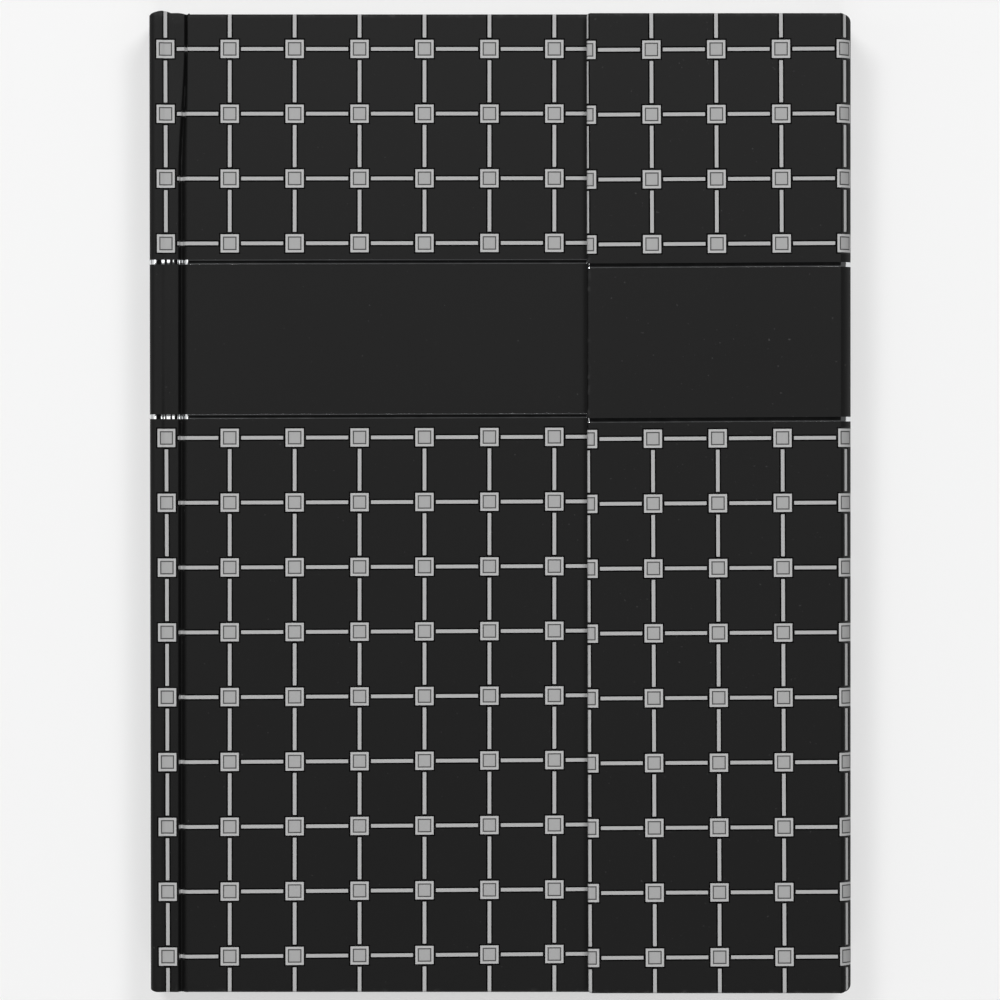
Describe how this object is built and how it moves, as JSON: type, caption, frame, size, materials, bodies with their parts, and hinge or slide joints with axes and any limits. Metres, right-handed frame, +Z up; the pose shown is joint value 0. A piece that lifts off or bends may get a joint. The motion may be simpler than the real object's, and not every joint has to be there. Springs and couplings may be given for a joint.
{
  "type": "address book",
  "caption": "Hardback address book with a matt black case, a printed square lattice, foil lines and a magnetic flap that folds from the back cover over the fore edge.",
  "frame": {"origin": "middle of the shut book's footprint, on the table under the back cover", "axes": "+X from the spine to the fore edge, +Y to the head, +Z up through the front cover"},
  "size_m": [0.155, 0.216, 0.0178],
  "materials": {
    "covering": "matt laminated black printed paper",
    "grey_board": "pressed grey board",
    "endpaper": "plain black uncoated paper",
    "page_paper": "uncoated off-white paper",
    "mull": "open gauze with glue",
    "band_cloth": "woven band",
    "steel_plate": "plain steel strip",
    "magnet": "pressed magnet"
  },
  "bodies": {
    "back_cover": {"back_board": "grey_board", "back_wrap": "covering", "back_pastedown": "endpaper", "back_joint": "covering", "lower_fold": "covering", "back_flyleaf": "endpaper", "leaves_mn": "page_paper", "leaves_op": "page_paper", "leaves_qr": "page_paper", "leaves_st": "page_paper", "leaves_uv": "page_paper", "leaves_wxyz": "page_paper", "spine_lining": "mull", "head_band": "band_cloth", "tail_band": "band_cloth"},
    "spine": {"spine_board": "grey_board", "spine_wrap": "covering", "spine_liner": "endpaper"},
    "front_cover": {"front_board": "grey_board", "front_wrap": "covering", "front_pastedown": "endpaper", "closure_plates": "steel_plate", "front_joint": "covering"},
    "front_leaves": {"front_flyleaf": "endpaper", "leaves_ab": "page_paper", "leaves_cd": "page_paper", "leaves_ef": "page_paper"},
    "middle_leaves": {"leaves_gh": "page_paper", "leaves_ij": "page_paper", "leaves_kl": "page_paper"},
    "fore_edge": {"fore_edge_board": "grey_board", "fore_edge_wrap": "covering", "fore_edge_liner": "endpaper", "upper_fold": "covering"},
    "flap": {"flap_board": "grey_board", "flap_wrap": "covering", "flap_liner": "endpaper", "flap_magnets": "magnet"}
  },
  "joints": [
    {"name": "front_cover_hinge", "type": "hinge", "parent": "spine", "child": "front_cover", "pos_m": [-0.07718, 0, 0.0151], "axis": [0, -1, 0], "range_deg": [0, 90], "deforming": ["front_joint"]},
    {"name": "spine_hinge", "type": "hinge", "parent": "back_cover", "child": "spine", "pos_m": [-0.07718, 0, 0.00032], "axis": [0, -1, 0], "range_deg": [0, 90], "deforming": ["back_joint"]},
    {"name": "front_leaves_turn", "type": "hinge", "parent": "back_cover", "child": "front_leaves", "pos_m": [-0.0744, 0, 0.00771], "axis": [0, -1, 0], "range_deg": [0, 180], "deforming": ["spine_lining", "head_band", "tail_band"]},
    {"name": "middle_leaves_turn", "type": "hinge", "parent": "back_cover", "child": "middle_leaves", "pos_m": [-0.0744, 0, 0.00771], "axis": [0, -1, 0], "range_deg": [0, 180]},
    {"name": "fore_edge_hinge", "type": "hinge", "parent": "back_cover", "child": "fore_edge", "pos_m": [0.07689, 0, 0.00061], "axis": [0, 1, 0], "range_deg": [0, 90], "deforming": ["lower_fold"]},
    {"name": "flap_hinge", "type": "hinge", "parent": "fore_edge", "child": "flap", "pos_m": [0.077, 0, 0.01732], "axis": [0, 1, 0], "range_deg": [0, 90], "deforming": ["upper_fold"]}
  ],
  "couplings": [
    {"joint": "spine_hinge", "follows": "front_cover_hinge", "ratio": 1},
    {"joint": "front_leaves_turn", "follows": "front_cover_hinge", "ratio": 2},
    {"joint": "middle_leaves_turn", "follows": "front_cover_hinge", "ratio": 1.96}
  ]
}
